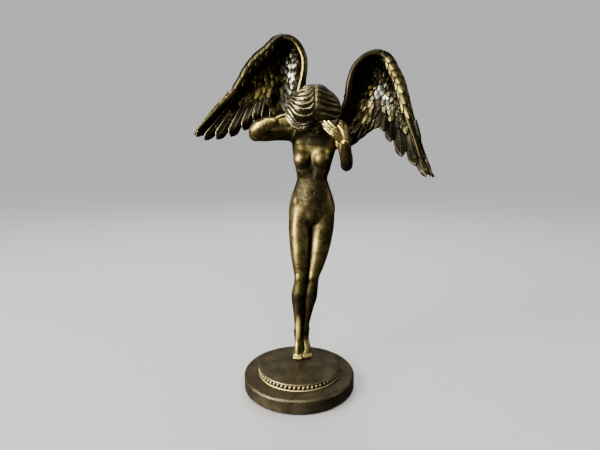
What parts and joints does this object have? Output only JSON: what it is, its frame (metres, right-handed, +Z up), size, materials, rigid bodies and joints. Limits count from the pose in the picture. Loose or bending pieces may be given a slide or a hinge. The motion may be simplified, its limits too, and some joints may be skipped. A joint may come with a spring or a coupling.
{
  "type": "winged figurine",
  "caption": "Bronze-finish resin statuette: a slender winged figure on tiptoe with bowed head and raised hands, on a round two-tier plinth with a beaded rim; a free-standing ornament.",
  "frame": {"origin": "centre of the plinth's resting face, which is the underside of the felt pad", "axes": "+Z up through the plinth's centre; the figure faces -Y; +X is the figure's own left side"},
  "size_m": [0.1988, 0.096, 0.2966],
  "materials": {
    "figure_bronze": "cast resin with an antique bronze finish, dark in the hollows and rubbed to gold on the high places",
    "wing_bronze": "cast resin with an antique bronze finish, nearly black between the feathers and rubbed to gold on their edges",
    "plinth_bronze": "cast resin with a satin brown bronze finish, rubbed to gold on the rims and beads",
    "felt": "dark brown wool felt",
    "steel": "plain bright steel"
  },
  "bodies": {
    "root": {"felt_pad": "felt", "base_lower_tier": "plinth_bronze", "base_upper_tier": "plinth_bronze", "tier_dowel": "steel", "armature_rod": "steel", "rod_washer": "steel", "rod_nut": "steel", "toe_pin": "steel", "figure_body": "figure_bronze", "head": "figure_bronze", "right_arm": "figure_bronze", "left_arm": "figure_bronze", "right_wing": "wing_bronze", "left_wing": "wing_bronze", "neck_pin": "steel", "right_shoulder_pin": "steel", "left_shoulder_pin": "steel", "right_wing_pins": "steel", "left_wing_pins": "steel"}
  },
  "joints": []
}
